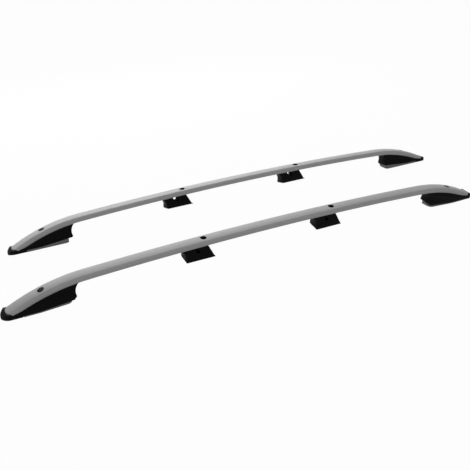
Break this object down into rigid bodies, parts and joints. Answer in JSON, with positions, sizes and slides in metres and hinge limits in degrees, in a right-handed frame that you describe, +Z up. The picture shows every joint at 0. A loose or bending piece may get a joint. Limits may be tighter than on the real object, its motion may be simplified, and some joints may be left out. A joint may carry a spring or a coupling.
{
  "type": "roof side rail pair",
  "caption": "Pair of arched hollow aluminium roof side rails on black moulded end feet and supports, with rubber pads and bolt-hole plugs.",
  "frame": {"origin": "centre of the pair's box on the surface that the end feet stand on", "axes": "+X towards the front along the rails, +Y to the left rail, +Z up"},
  "size_m": [2.231, 0.536, 0.1214],
  "materials": {
    "bar": "matt grey anodised",
    "moulding": "fine grain",
    "pad": "matt",
    "sole": "matt",
    "plug": "satin",
    "steel": "zinc plated"
  },
  "bodies": {
    "root": {"right_bar": "bar", "right_front_foot": "moulding", "right_front_pad": "pad", "right_front_support": "moulding", "right_front_support_pad": "sole", "right_front_end_plug": "plug", "right_front_plug": "plug", "right_rear_foot": "moulding", "right_rear_pad": "pad", "right_rear_support": "moulding", "right_rear_support_pad": "sole", "right_rear_end_plug": "plug", "right_rear_plug": "plug", "right_sleeves": "steel", "right_screws": "steel", "left_bar": "bar", "left_front_foot": "moulding", "left_front_pad": "pad", "left_front_support": "moulding", "left_front_support_pad": "sole", "left_front_end_plug": "plug", "left_front_plug": "plug", "left_rear_foot": "moulding", "left_rear_pad": "pad", "left_rear_support": "moulding", "left_rear_support_pad": "sole", "left_rear_end_plug": "plug", "left_rear_plug": "plug", "left_sleeves": "steel", "left_screws": "steel"}
  },
  "joints": []
}
